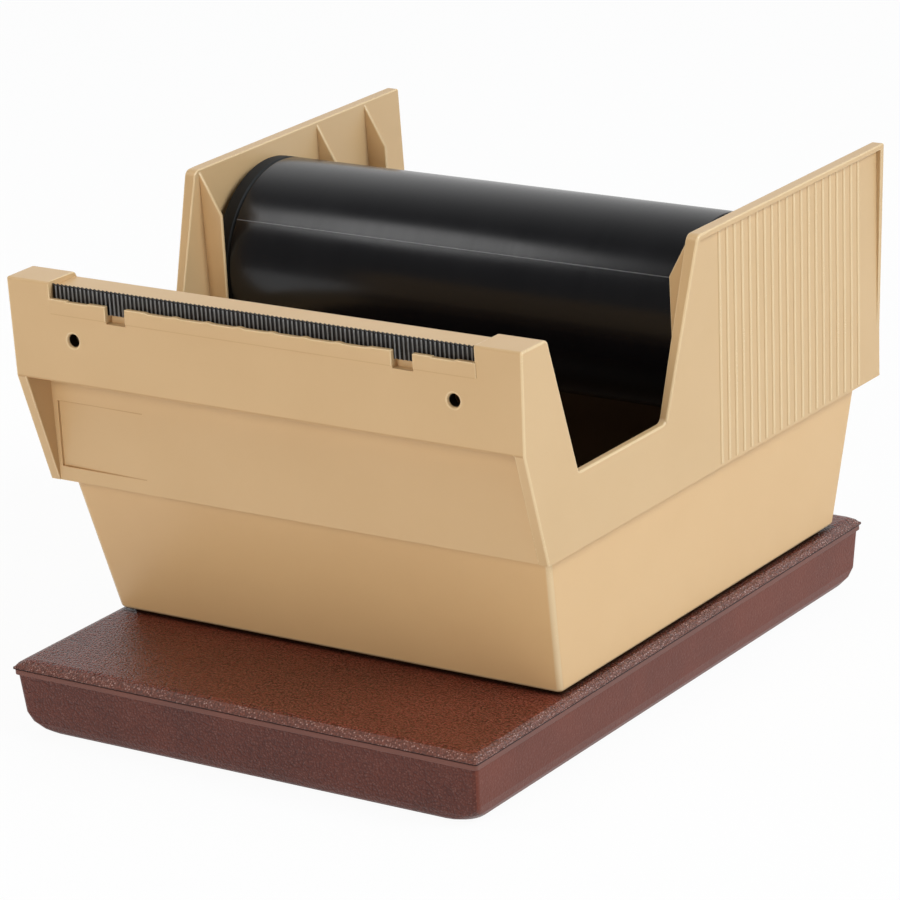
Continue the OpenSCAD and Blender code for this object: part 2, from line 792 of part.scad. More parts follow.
module base_slice(z, inset, r) {
    translate([0, base_y, z]) round_slab(base_w - 2 * inset, base_l - 2 * inset, r, 0.01, $fn = 24);
}

// A slice of the tray's rounded foot, drawn in by a share of the rounding
module tray_slice(z, share, r) {
    side_in = lip_out + tray_draft + tray_side_round * share;
    end_in = lip_out + tray_draft + tray_end_round * share;
    translate([0, base_y, z]) round_slab(base_w - 2 * side_in, base_l - 2 * end_in, r, 0.01, $fn = 24);
}

module base_tray() {
    color(brown) difference() {
        union() {
            difference() {
                hull() {
                    base_slice(rim_z - 0.01, lip_out, 1.6);
                    tray_slice(tray_z + tray_round_h, 0, 2);
                    tray_slice(tray_z + tray_round_h * 0.5, 0.22, tray_corner_r * 0.42);
                    tray_slice(tray_z + tray_round_h * 0.16, 0.6, tray_corner_r * 0.72);
                    tray_slice(tray_z, 1, tray_corner_r);
                }
                translate([0, base_y, tray_floor_z])
                    round_slab(base_w - 2 * cavity_in, base_l - 2 * cavity_in, 3, tray_h);
            }
            base_screw_places() translate([0, 0, tray_floor_z - bite])
                cylinder(d = pad_d, h = pad_z - tray_floor_z + bite);
        }
        base_screw_places() {
            translate([0, 0, tray_z - bite])
                cylinder(r = foot_d / 2 + through_gap, h = foot_recess + bite);
            cylinder(d = head_pocket_d, h = screw_seat_z);
            cylinder(r = screw_d / 2 + through_gap, h = pad_z + bite);
        }
    }
}

module base_cover() {
    ring_in = cavity_in + nest_gap;
    ring_h = 2;
    well_in = ring_in + 2;
    well_h = cover_under_z - rim_z + ring_h + bite;
    color(brown) difference() {
        union() {
            difference() {
                union() {
                    hull() {
                        base_slice(lip_z, 0, 1);
                        base_slice(lip_z + crown_h * 0.55, crown_w * 0.28, 1.6);
                        base_slice(lip_z + crown_h * 0.88, crown_w * 0.62, 2.4);
                        base_slice(plateau_z - 0.01, crown_w, 3.2);
                    }
                    translate([0, base_y, rim_z])
                        round_slab(base_w - 2 * lip_in, base_l - 2 * lip_in, 1.4, lip_t - groove_h);
                    translate([0, base_y, rim_z + 0.2])
                        round_slab(base_w - 2 * lip_out, base_l - 2 * lip_out, 1.7, lip_t);
                    translate([0, base_y, rim_z - ring_h])
                        round_slab(base_w - 2 * ring_in, base_l - 2 * ring_in, 2.7, ring_h + bite);
                }
                translate([0, base_y, rim_z - ring_h - bite])
                    round_slab(base_w - 2 * well_in, base_l - 2 * well_in, 2, well_h);
            }
            base_screw_places() translate([0, 0, pad_z])
                cylinder(d = boss_d, h = cover_under_z - pad_z + bite);
        }
        tub_screw_places() translate([0, 0, -bite])
            cylinder(r = screw_d / 2 + through_gap, h = cover_t + 2 * bite);
        base_screw_places() translate([0, 0, pad_z - bite])
            cylinder(r = screw_d / 2 + pilot_gap, h = base_screw_l - (pad_z - screw_seat_z) + 2 * bite);
    }
}

module ballast_plate() {
    edge = cavity_in + 1;
    color([0.25, 0.25, 0.26]) translate([0, 0, tray_floor_z]) difference() {
        translate([0, base_y, 0]) round_slab(base_w - 2 * edge, base_l - 2 * edge, 3, ballast_t);
        base_screw_places() translate([0, 0, -bite]) cylinder(d = pad_d + 1, h = ballast_t + 2 * bite);
    }
}

module base_screws() {
    color(steel) base_screw_places() translate([0, 0, screw_seat_z]) mirror([0, 0, 1]) screw(base_screw_l);
}

module foot(sx, sy) {
    edge = 0.6;
    color(rubber_black) translate([sx * base_screw_x, base_y + sy * base_screw_y, 0]) {
        cylinder(d1 = foot_d - 2 * edge, d2 = foot_d, h = edge);
        translate([0, 0, edge]) cylinder(d = foot_d, h = foot_stand + foot_recess - edge);
    }
}

upper_frame();
lower_tub();
blade();
drum_tube();
hub_plug(-1);  // hub_plug_left
hub_plug(1);  // hub_plug_right
axle();
drag_washer(-1);  // drag_washer_left
drag_washer(1);  // drag_washer_right
retaining_clip(-1);  // retaining_clip_left
retaining_clip(1);  // retaining_clip_right
end_block(-1);  // end_block_left
end_block(1);  // end_block_right
frame_screws();
tub_screws();
base_cover();
base_tray();
ballast_plate();
base_screws();
foot(-1, -1);  // foot_front_left
foot(1, -1);  // foot_front_right
foot(-1, 1);  // foot_rear_left
foot(1, 1);  // foot_rear_right
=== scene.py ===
"""Looks of a counter-top dispenser for several rolls of tape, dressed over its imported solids."""
import logging
import math
from dataclasses import dataclass
from enum import Enum
from typing import Union

import bmesh
import bpy
from mathutils import Matrix, Vector


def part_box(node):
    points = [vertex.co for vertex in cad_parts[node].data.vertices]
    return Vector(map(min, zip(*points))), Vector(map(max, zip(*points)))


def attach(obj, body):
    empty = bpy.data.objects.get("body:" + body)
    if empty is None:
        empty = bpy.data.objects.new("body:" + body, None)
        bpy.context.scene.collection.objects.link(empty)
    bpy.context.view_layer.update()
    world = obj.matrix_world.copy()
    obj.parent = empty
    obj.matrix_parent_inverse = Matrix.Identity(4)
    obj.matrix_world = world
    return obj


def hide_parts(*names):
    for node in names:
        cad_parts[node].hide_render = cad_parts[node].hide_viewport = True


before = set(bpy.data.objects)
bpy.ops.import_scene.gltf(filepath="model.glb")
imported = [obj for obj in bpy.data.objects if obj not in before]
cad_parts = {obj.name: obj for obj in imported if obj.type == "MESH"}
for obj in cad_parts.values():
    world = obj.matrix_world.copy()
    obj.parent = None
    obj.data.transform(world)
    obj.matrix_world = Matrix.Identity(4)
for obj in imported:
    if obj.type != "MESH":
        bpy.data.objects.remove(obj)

LOG = logging.getLogger("dispenser")
Triple = tuple[float, float, float]
Colour = Triple
Span = tuple[float, float]
Edge = bmesh.types.BMEdge
Material = bpy.types.Material
MM = 0.001
NOISE_MEAN = 0.5
WHITE = (1.0, 1.0, 1.0)


class Axis(Enum):
    """Axes of the row frame."""

    X = 0
    Y = 1
    Z = 2


class Body(Enum):
    """The rigid bodies that new pieces ride on."""

    STAND = "stand"
    DRUM = "drum"


class Skin(Enum):
    """The material slots of a moulding."""

    PLAIN = 0
    # The lighter, glossier edge finish: a painted highlight.
    POLISHED = 1


class Wire:
    """One output of a shader node, which takes part in Python expressions."""

    def __init__(self, shader: "Shader", socket: bpy.types.NodeSocket) -> None:
        """Keeps the shader that owns the socket.

        Args:
            shader: The shader that new Math nodes go into.
            socket: The output that this wire carries.
        """
        self.shader = shader
        self.socket = socket

    def _math(self, operation: str, first: "Value", second: "Value") -> "Wire":
        """Adds one Math node.

        Args:
            operation: Name of the Math node's operation.
            first: First operand.
            second: Second operand.

        Returns:
            The node's result.
        """
        return self.shader.node("ShaderNodeMath", {"operation": operation}, {0: first, 1: second})

    def __add__(self, other: "Value") -> "Wire":
        """self + other."""
        return self._math("ADD", self, other)

    def __radd__(self, other: "Value") -> "Wire":
        """other + self."""
        return self._math("ADD", other, self)

    def __sub__(self, other: "Value") -> "Wire":
        """self - other."""
        return self._math("SUBTRACT", self, other)

    def __rsub__(self, other: "Value") -> "Wire":
        """other - self."""
        return self._math("SUBTRACT", other, self)

    def __mul__(self, other: "Value") -> "Wire":
        """self * other."""
        return self._math("MULTIPLY", self, other)

    def __rmul__(self, other: "Value") -> "Wire":
        """other * self."""
        return self._math("MULTIPLY", other, self)

    def __gt__(self, other: "Value") -> "Wire":
        """1 where self is above other, else 0."""
        return self._math("GREATER_THAN", self, other)

    def __lt__(self, other: "Value") -> "Wire":
        """1 where self is below other, else 0."""
        return self._math("LESS_THAN", self, other)

    def __abs__(self) -> "Wire":
        """self without its sign."""
        return self._math("ABSOLUTE", self, 0.0)


Value = Union[Wire, float, int, tuple]


class Shader:
    """The node tree of a material or of the surround, built one node at a time."""

    def __init__(self, owner: Union[Material, bpy.types.World]) -> None:
        """Starts with an empty tree.

        Args:
            owner: The material or surround that the nodes belong to.
        """
        owner.use_nodes = True
        self.owner = owner
        self.tree = owner.node_tree
        self.tree.nodes.clear()

    @classmethod
    def named(cls, name: str) -> "Shader":
        """Returns the shader of a new material with a name."""
        return cls(bpy.data.materials.new(name))

    def node(
        self, kind: str, settings: dict | None = None, sockets: dict | None = None, out: int | str = 0
    ) -> Wire:
        """Adds any node.

        Args:
            kind: The node's type.
            settings: The node's own properties, set first.
            sockets: Values or wires of the inputs, by name or number.
            out: The output to return, by name or number.

        Returns:
            The chosen output.
        """
        made = self.tree.nodes.new(kind)
        for key, value in (settings or {}).items():
            setattr(made, key, value)
        for key, value in (sockets or {}).items():
            socket = made.inputs[key]
            if isinstance(value, Wire):
                self.tree.links.new(value.socket, socket)
            elif isinstance(value, tuple) and socket.type == "RGBA":
                socket.default_value = (*value, 1.0)
            else:
                socket.default_value = value
        return Wire(self, made.outputs[out]) if made.outputs else Wire(self, None)

    def place(self) -> Wire:
        """Returns the point on the surface in the row frame, in metres."""
        return self.node("ShaderNodeTexCoord", out="Object")

    def facing(self) -> Wire:
        """Returns the way that the surface looks, in the row frame."""
        return self.node("ShaderNodeTexCoord", out="Normal")

    def part(self, vector: Wire, axis: Axis) -> Wire:
        """Returns one coordinate of a vector."""
        return self.node("ShaderNodeSeparateXYZ", {}, {0: vector}, axis.value)

    def stretched(self, vector: Wire, factors: Triple) -> Wire:
        """Returns the vector with each coordinate multiplied by its factor."""
        return self.node("ShaderNodeVectorMath", {"operation": "MULTIPLY"}, {0: vector, 1: factors})

    def larger(self, first: Value, second: Value) -> Wire:
        """Returns the larger of two values."""
        return self.node("ShaderNodeMath", {"operation": "MAXIMUM"}, {0: first, 1: second})

    def within(self, value: Wire, span: Span) -> Wire:
        """Returns 1 where a value lies inside a span, else 0."""
        return (value > span[0]) * (value < span[1])

    def noise(
        self, vector: Wire, size: float, detail: float = 2.0, rough: float = 0.5, out: int | str = 0
    ) -> Wire:
        """Adds a noise.

        Args:
            vector: Where to look the noise up.
            size: Size of its blotches, in metres.
            detail: Number of finer layers.
            rough: Strength of the finer layers.
            out: The output to return, by name or number.

        Returns:
            A value from 0 to 1, or a colour of such values.
        """
        sockets = {"Vector": vector, "Scale": 1.0 / size, "Detail": detail, "Roughness": rough}
        return self.node("ShaderNodeTexNoise", {}, sockets, out)

    def cells(self, vector: Wire, size: float, out: str) -> Wire:
        """Adds a cell pattern.

        Args:
            vector: Where to look the cells up.
            size: Size of a cell, in metres.
            out: The output to return: the distance from a cell's middle, in cells, or its colour.

        Returns:
            The chosen output.
        """
        sockets = {"Vector": vector, "Scale": 1.0 / size}
        return self.node("ShaderNodeTexVoronoi", {"feature": "F1"}, sockets, out)

    def spread(self, value: Wire, low: float, high: float, to_low: float, to_high: float) -> Wire:
        """Maps a value from one range to another and clamps it.

        Args:
            value: The value to map.
            low: Start of its range.
            high: End of its range.
            to_low: Result at the start.
            to_high: Result at the end.

        Returns:
            The mapped value.
        """
        sockets = {"Value": value, "From Min": low, "From Max": high, "To Min": to_low, "To Max": to_high}
        return self.node("ShaderNodeMapRange", {"clamp": True}, sockets)

    def between(self, mask: Value, low: Value, high: Value) -> Wire:
        """Mixes two colours.

        Args:
            mask: 0 gives the first colour and 1 the second.
            low: First colour.
            high: Second colour.

        Returns:
            The mixed colour.
        """
        return self.node("ShaderNodeMix", {"data_type": "RGBA"}, {"Factor": mask, 6: low, 7: high}, 2)

    def bump(self, height: Wire, depth: float) -> Wire:
        """Adds a bump.

        Args:
            height: Height from 0 to 1.
            depth: Depth that 1 stands for, in metres.

        Returns:
            The bumped normal.
        """
        return self.node("ShaderNodeBump", {}, {"Height": height, "Distance": depth, "Strength": 1.0})

    def surface(self, **sockets: Value) -> Material:
        """Closes the material with one principled shader.

        Args:
            **sockets: Its inputs, with an underscore for each space.

        Returns:
            The material.
        """
        named = {key.replace("_", " "): value for key, value in sockets.items()}
        shading = self.node("ShaderNodeBsdfPrincipled", {}, named)
        self.node("ShaderNodeOutputMaterial", {}, {"Surface": shading})
        return self.owner


@dataclass(frozen=True)
class MouldedPlastic:
    """Satin moulded plastic with faint mottling and a very fine mould texture."""

    name: str
    colour: Colour
    deep: Colour
    roughness: float = 0.40
    ior: float = 1.49
    cloud_m: float = 0.035
    cloud_span: Span = (0.35, 0.70)
    cloud_share: float = 0.45
    cloud_rough: float = 0.10
    texture_m: float = 0.00045
    texture_depth_m: float = 0.000012
    texture_share: float = 0.10
    texture_rough: float = 0.06
    # Colour of the painted shade inside holes and hollows.
    inner_shade_colour: Colour = (0.012, 0.008, 0.006)
    # Colour of the painted shade lines in creases; plain mouldings use none.
    crease_shade_colour: Colour = (0.0, 0.0, 0.0)

    def crease_shade(self, s: Shader, at: Wire) -> Value:
        """Tells where shade is painted as dark lines in the creases; plain mouldings have none."""
        return 0.0

    def inner_shade(self, s: Shader, at: Wire) -> Value:
        """Tells where shade is painted inside the moulding; plain mouldings have none."""
        return 0.0

    def material(self) -> Material:
        """Builds the finish.

        Returns:
            The material.
        """
        s = Shader.named(self.name)
        at = s.place()
        clouds = s.noise(at, self.cloud_m, detail=3.0, rough=0.55)
        fine = s.noise(at, self.texture_m, detail=2.0, rough=0.6)
        mottled = s.spread(clouds, *self.cloud_span, 0.0, self.cloud_share) + fine * self.texture_share
        colour = s.between(mottled, self.colour, self.deep)
        # Painted shade: dark lines where the creases and edges would be shaded.
        colour = s.between(self.crease_shade(s, at), colour, self.crease_shade_colour)
        # Painted shade inside holes and hollows.
        colour = s.between(self.inner_shade(s, at), colour, self.inner_shade_colour)
        uneven = (clouds - NOISE_MEAN) * self.cloud_rough + (fine - NOISE_MEAN) * self.texture_rough
        return s.surface(
            Base_Color=colour, Roughness=self.roughness + uneven,
            Normal=s.bump(fine, self.texture_depth_m), IOR=self.ior,
        )


@dataclass(frozen=True)
class FramePlastic(MouldedPlastic):
    """The frame's plastic, with painted shade on the walls of the two front holes and painted shade lines along
    its creases.
    """

    # Colour of the painted shade lines beside the beads, under the lip and panel, and round the recess.
    crease_shade_colour: Colour = (0.430, 0.225, 0.080)
    # Place and reach of the painted shade in the two front holes.
    hole_x: float = 0.075
    hole_z: float = 0.1327
    hole_r: float = 0.0023
    hole_blur: float = 0.0001
    hole_from_y: float = -0.0996
    hole_fade: float = 0.0004
    hole_depth: float = 0.012
    bead_x: float = 0.0985
    bead_y: Span = (0.0150, 0.1105)
    bead_z: Span = (0.0790, 0.1600)
    bead_first: float = 0.0173
    bead_pitch: float = 0.00486
    bead_crease_off: float = 0.00088
    bead_line: Span = (0.00010, 0.00042)
    bead_dark: float = 0.75
    panel_y: float = -0.0998
    panel_low: float = 0.1177
    panel_under: float = 0.0003
    panel_line: Span = (0.00025, 0.00065)
    panel_dark: float = 0.55
    lip_z: float = 0.1411
    lip_half: float = 0.0835
    lip_line: Span = (0.00008, 0.00030)
    lip_dark: float = 0.40
    recess_x: Span = (-0.0930, -0.0585)
    recess_y: Span = (-0.0900, -0.0865)
    recess_z: Span = (0.0831, 0.1061)
    recess_line: Span = (0.00010, 0.00030)
    recess_dark: float = 0.55

    def crease_shade(self, s: Shader, at: Wire) -> Value:
        """Finds the painted shade lines beside the beads, under the lip, along the panel's foot and round the
        recess.

        Args:
            s: The material's shader.
            at: The point on the surface.

        Returns:
            0 where plain and 1 on a painted shade line.
        """
        across, along, up = (s.part(at, axis) for axis in Axis)
        aside = abs(across)
        on_panel = along < self.panel_y
        start = along + (self.bead_crease_off + self.bead_pitch / 2 - self.bead_first)
        phase = s.node("ShaderNodeMath", {"operation": "FLOORED_MODULO"}, {0: start, 1: self.bead_pitch})
        outward = s.part(s.facing(), Axis.X) * across > 0.0
        on_fin = (aside > self.bead_x) * s.within(along, self.bead_y) * s.within(up, self.bead_z) * outward
        beads = s.spread(abs(phase - self.bead_pitch / 2), *self.bead_line, self.bead_dark, 0.0) * on_fin
        lip = s.spread(abs(up - self.lip_z), *self.lip_line, self.lip_dark, 0.0)
        lip = lip * on_panel * (aside < self.lip_half)
        foot = s.spread(up - self.panel_low, *self.panel_line, self.panel_dark, 0.0)
        foot = foot * on_panel * (up > self.panel_low - self.panel_under)
        halfway = sum(self.recess_z) / 2
        to_rim = abs(abs(up - halfway) - (halfway - self.recess_z[0]))
        recess = s.spread(to_rim, *self.recess_line, self.recess_dark, 0.0)
        recess = recess * s.within(across, self.recess_x) * s.within(along, self.recess_y)
        return beads + lip + foot + recess

    def inner_shade(self, s: Shader, at: Wire) -> Value:
        """Paints shade on the walls of the two front holes, behind their rounded rims.

        Args:
            s: The material's shader.
            at: The point on the surface.

        Returns:
            0 where plain and 1 where shade is painted.
        """
        along = s.part(at, Axis.Y)
        folded = s.node("ShaderNodeVectorMath", {"operation": "ABSOLUTE"}, {0: at})
        middle = s.node("ShaderNodeCombineXYZ", {}, {0: self.hole_x, 1: abs(along), 2: self.hole_z})
        off = s.node("ShaderNodeVectorMath", {"operation": "DISTANCE"}, {0: folded, 1: middle}, "Value")
        inside = s.spread(off, self.hole_r, self.hole_r + self.hole_blur, 1.0, 0.0)
        deep = s.spread(along, self.hole_from_y, self.hole_from_y + self.hole_fade, 0.0, 1.0)
        return inside * deep * (along < self.hole_from_y + self.hole_depth)


@dataclass(frozen=True)
class TubPlastic(MouldedPlastic):
    """The tub's plastic, with painted shade on the faces inside it."""

    middle_y: float = 0.0155
    inward: Span = (-0.02, -0.004)
    upward: Span = (0.75, 0.90)
    inside_below: float = 0.06
    inner_shade_share: float = 0.96

    def inner_shade(self, s: Shader, at: Wire) -> Value:
        """Paints shade on the faces that look inwards or up, inside the tub.

        Args:
            s: The material's shader.
            at: The point on the surface.

        Returns:
            0 where plain and nearly 1 where shade is painted.
        """
        facing = s.facing()
        aside = s.part(at, Axis.X) * s.part(facing, Axis.X)
        along = (s.part(at, Axis.Y) - self.middle_y) * s.part(facing, Axis.Y)
        inwards = s.spread(aside + along, *self.inward, 1.0, 0.0)
        upwards = s.spread(s.part(facing, Axis.Z), *self.upward, 0.0, 1.0)
        upwards = upwards * (s.part(at, Axis.Z) < self.inside_below)
        return s.larger(inwards, upwards) * self.inner_shade_share


@dataclass(frozen=True)
class GrainedPlastic:
    """Glossy moulded plastic with a leather grain, fainter on the walls, with painted shade and light on the grain
    and the front walls, painted glints and sheen, and painted shadows above a smooth lip and round the tub's foot.
    """

    name: str
    colour: Colour
    deep: Colour
    pebble_m: float
    depth_m: float
    roughness: float = 0.21
    specular: float = 0.33
    # Colour of the painted light on the pebbles' tops on the plateau.
    lit_top: Colour = (0.205, 0.046, 0.030)
    # Colour of the painted glints and sheen.
    glint: Colour = (0.55, 0.38, 0.33)
    # Near-black colour of the painted shadows: the line above the lip and round the tub's foot.
    shadow_black: Colour = (0.014, 0.003, 0.002)
    wall_top: float = 0.0212
    band_z: Span = (0.0210, 0.0233)
    # Height of the painted shadow line above the lip.
    line_z: Span = (0.02305, 0.02355)
    crown_top: float = 0.0258
    side_from: float = 0.7
    drift_m: float = 0.003
    drift_by: float = 0.0012
    pebble_fall: float = 1.6
    pebble_span: Span = (0.25, 0.85)
    pebble_dark: float = 0.75
    pebble_lit: Span = (0.02, 0.60)
    fine_size: float = 0.35
    fine_height: float = 0.3
    cloud_m: float = 0.03
    cloud_span: Span = (0.35, 0.70)
    cloud_dark: float = 0.35
    # Painted shade on the walls that face the front.
    front_dark: float = 0.40
    band_dark: float = 0.25
    band_smooth: float = 0.94
    wall_smooth: float = 0.55
    side_smooth: float = 0.6
    fine_rough: float = 0.10
    smooth_rough: float = 0.28
    line_rough: float = 0.3
    glint_drawn: Span = (0.30, 0.85)
    glint_reach: Span = (0.20, 0.42)
    glint_top: float = 0.07
    glint_crown: float = 0.40
    glint_front: float = 0.04
    sheen_crown: float = 0.11
    sheen_band: float = 0.12
    # Reach and strength of the painted shadow round the tub's foot.
    foot_x: float = 0.0884
    foot_y: Span = (-0.0692, 0.1062)
    foot_reach: float = 0.0024
    foot_dark: float = 0.97

    def from_foot(self, s: Shader, at: Wire) -> Wire:
        """Measures how far a point lies outside the tub's footprint.

        Args:
            s: The material's shader.
            at: The point on the surface.

        Returns:
            The distance in metres, below 0 under the tub.
        """
        along = s.part(at, Axis.Y)
        ahead = s.larger(self.foot_y[0] - along, along - self.foot_y[1])
        return s.larger(abs(s.part(at, Axis.X)) - self.foot_x, ahead)

    def material(self) -> Material:
        """Builds the finish.

        Returns:
            The material.
        """
        s = Shader.named(self.name)
        at = s.place()
        up = s.part(at, Axis.Z)
        drift = s.noise(at, self.drift_m, out="Color")
        sockets = {0: drift, 1: (self.drift_by, self.drift_by, self.drift_by), 2: at}
        bent = s.node("ShaderNodeVectorMath", {"operation": "MULTIPLY_ADD"}, sockets)
        away = s.cells(bent, self.pebble_m, "Distance")
        drawn = s.part(s.cells(bent, self.pebble_m, "Color"), Axis.X)
        pebbles = 1.0 - away * away * self.pebble_fall
        fine = s.noise(at, self.pebble_m * self.fine_size, detail=2.0, rough=0.6)
        clouds = s.noise(at, self.cloud_m, detail=3.0, rough=0.5)

        wall = up < self.wall_top
        side = wall * (abs(s.part(s.facing(), Axis.X)) > self.side_from)
        front = wall * (1.0 - side)
        band, line = s.within(up, self.band_z), s.within(up, self.line_z)
        crown = s.within(up, (self.line_z[1], self.crown_top))
        grain = (1.0 - band * self.band_smooth) * (1.0 - wall * self.wall_smooth)
        grain = grain * (1.0 - side * self.side_smooth) * (1.0 - line)

        # Painted shade in the grain's hollows and on the front walls; painted light on the pebbles' tops on the
        # plateau.
        shade = s.spread(pebbles, *self.pebble_span, self.pebble_dark, 0.0) * grain
        shade = shade + s.spread(clouds, *self.cloud_span, 0.0, self.cloud_dark)
        shade = shade + front * self.front_dark + band * self.band_dark
        lit = (up > self.crown_top) * s.spread(pebbles, *self.pebble_span, *self.pebble_lit)
        plain = s.between(lit, s.between(shade, self.colour, self.deep), self.lit_top)
        # Painted glints on random pebbles, and a painted sheen on the crown and the band.
        chosen = s.spread(drawn, *self.glint_drawn, 0.0, 1.0) * s.spread(away, *self.glint_reach, 1.0, 0.0)
        strength = self.glint_top + crown * self.glint_crown + front * self.glint_front
        glints = chosen * strength * (1.0 - band) * (1.0 - line)
        glints = glints + (crown * self.sheen_crown + band * self.sheen_band) * (1.0 - line)
        # Painted shadow round the tub's foot, and a painted shadow line above the lip.
        under = s.spread(self.from_foot(s, at), 0.0, self.foot_reach, self.foot_dark, 0.0)
        painted_shadow = s.larger(line, under * (up > self.line_z[1]))
        colour = s.between(painted_shadow, s.between(glints, plain, self.glint), self.shadow_black)

        rough = self.roughness + (fine - NOISE_MEAN) * self.fine_rough
        rough = rough + (1.0 - grain) * self.smooth_rough + line * self.line_rough
        height = (pebbles + fine * self.fine_height) * grain
        return s.surface(
            Base_Color=colour, Roughness=rough, Normal=s.bump(height, self.depth_m),
            Specular_IOR_Level=self.specular,
        )


@dataclass(frozen=True)
class DrumPlastic:
    """Black plastic, turned to a satin finish, with faint hoops, a little dust, and a raised parting line with a
    painted reflection along it.
    """

    name: str
    colour: Colour
    worn: Colour
    roughness: float = 0.23
    specular: float = 0.42
    axis_y: float = 0.0385
    axis_z: float = 0.1236
    hoop_m: float = 0.0012
    hoop_stretch: Triple = (1.0, 0.03, 0.03)
    hoop_rough: float = 0.08
    broad_m: float = 0.02
    broad_stretch: Triple = (1.0, 0.15, 0.15)
    broad_rough: float = 0.10
    fine_m: float = 0.0003
    fine_height: float = 0.4
    depth_m: float = 0.000007
    dust_span: Span = (0.4, 0.8)
    dust_share: float = 0.6
    # Light grey of the painted reflection along the parting line.
    parting_glint: Colour = (0.150, 0.150, 0.155)
    parting_glint_deg: float = 35.2
    parting_glint_width: Span = (0.00006, 0.00026)
    parting_glint_share: float = 0.7
    parting_height: float = 1.5

    def material(self) -> Material:
        """Builds the finish.

        Returns:
            The material.
        """
        s = Shader.named(self.name)
        at = s.place()
        hoops = s.noise(s.stretched(at, self.hoop_stretch), self.hoop_m, detail=3.0, rough=0.6)
        broad = s.noise(s.stretched(at, self.broad_stretch), self.broad_m, detail=3.0, rough=0.5)
        fine = s.noise(at, self.fine_m, detail=2.0, rough=0.6)
        sine, cosine = math.sin(math.radians(self.parting_glint_deg)), math.cos(math.radians(self.parting_glint_deg))
        back, up = s.part(at, Axis.Y) - self.axis_y, s.part(at, Axis.Z) - self.axis_z
        parting_glint = s.spread(abs(back * sine + up * cosine), *self.parting_glint_width, 1.0, 0.0)
        parting_glint = parting_glint * (up * sine - back * cosine > 0.0)
        colour = s.between(s.spread(broad, *self.dust_span, 0.0, self.dust_share), self.colour, self.worn)
        # Painted reflection: a light line along the raised parting line.
        colour = s.between(parting_glint * self.parting_glint_share, colour, self.parting_glint)
        uneven = (broad - NOISE_MEAN) * self.broad_rough + (hoops - NOISE_MEAN) * self.hoop_rough
        height = hoops + fine * self.fine_height + parting_glint * self.parting_height
        return s.surface(
            Base_Color=colour, Roughness=self.roughness + uneven, Normal=s.bump(height, self.depth_m),
            Specular_IOR_Level=self.specular,
        )


@dataclass(frozen=True)
class Metal:
    """Metal with fine brushing along one axis and slight stains."""

    name: str
    colour: Colour
    stain: Colour
    roughness: float
    metallic: float = 1.0
    brushing: Triple = (1.0, 1.0, 1.0)
    brush_m: float = 0.0005
    brush_depth_m: float = 0.000006
    brush_rough: float = 0.20
    stain_m: float = 0.006
    stain_span: Span = (0.40, 0.75)
    stain_share: float = 0.8
    stain_rough: float = 0.15

    def material(self) -> Material:
        """Builds the finish.

        Returns:
            The material.
        """
        s = Shader.named(self.name)
        at = s.place()
        lines = s.noise(s.stretched(at, self.brushing), self.brush_m, detail=3.0, rough=0.65)
        stains = s.noise(at, self.stain_m, detail=4.0, rough=0.6)
        colour = s.between(s.spread(stains, *self.stain_span, 0.0, self.stain_share), self.colour, self.stain)
        uneven = (lines - NOISE_MEAN) * self.brush_rough + (stains - NOISE_MEAN) * self.stain_rough
        return s.surface(
            Base_Color=colour, Roughness=self.roughness + uneven, Metallic=self.metallic,
            Normal=s.bump(lines, self.brush_depth_m),
        )


@dataclass(frozen=True)
class ToothedSteel:
    """Blackened steel whose narrow tooth flanks, which face right, carry a painted highlight."""

    name: str
    black: Colour
    rusty: Colour
    # Colour of the painted highlight on the right-facing flanks.
    flank_highlight: Colour
    roughness: float = 0.34
    metallic: float = 0.9
    flank_span: Span = (0.5, 0.6)
    flank_rough: float = 0.2
    flank_metallic_loss: float = 0.8
    brushing: Triple = (1.0, 1.0, 0.1)
    brush_m: float = 0.0004
    brush_depth_m: float = 0.000005
    brush_rough: float = 0.16
    bright_span: Span = (0.2, 0.6)
    bright_share: Span = (0.6, 1.0)
    stain_m: float = 0.005
    stain_span: Span = (0.40, 0.75)
    stain_share: float = 0.8
    stain_rough: float = 0.12

    def material(self) -> Material:
        """Builds the finish.

        Returns:
            The material.
        """
        s = Shader.named(self.name)
        at = s.place()
        flank = s.spread(s.part(s.facing(), Axis.X), *self.flank_span, 0.0, 1.0)
        stains = s.noise(at, self.stain_m, detail=4.0, rough=0.6)
        lines = s.noise(s.stretched(at, self.brushing), self.brush_m, detail=3.0, rough=0.65)
        oxide = s.between(s.spread(stains, *self.stain_span, 0.0, self.stain_share), self.black, self.rusty)
        # Painted highlight on the flanks that face right.
        bright = flank * s.spread(lines, *self.bright_span, *self.bright_share)
        uneven = (lines - NOISE_MEAN) * self.brush_rough + (stains - NOISE_MEAN) * self.stain_rough
        return s.surface(
            Base_Color=s.between(bright, oxide, self.flank_highlight),
            Roughness=self.roughness + uneven + flank * self.flank_rough,
            Metallic=self.metallic - flank * self.flank_metallic_loss,
            Normal=s.bump(lines, self.brush_depth_m),
        )


@dataclass(frozen=True)
class Dull:
    """A dull material with a granular surface, such as rubber, fibre board or raw iron."""

    name: str
    colour: Colour
    deep: Colour
    roughness: float
    grain_m: float
    depth_m: float
    metallic: float = 0.0
    grain_span: Span = (0.35, 0.70)
    grain_rough: float = 0.2

    def material(self) -> Material:
        """Builds the finish.

        Returns:
            The material.
        """
        s = Shader.named(self.name)
        grain = s.noise(s.place(), self.grain_m, detail=4.0, rough=0.65)
        colour = s.between(s.spread(grain, *self.grain_span, 0.0, 1.0), self.colour, self.deep)
        rough = self.roughness + (grain - NOISE_MEAN) * self.grain_rough
        return s.surface(
            Base_Color=colour, Roughness=rough, Metallic=self.metallic, Normal=s.bump(grain, self.depth_m)
        )


BEIGE = FramePlastic("beige_moulding", (0.640, 0.422, 0.212), (0.610, 0.397, 0.195))
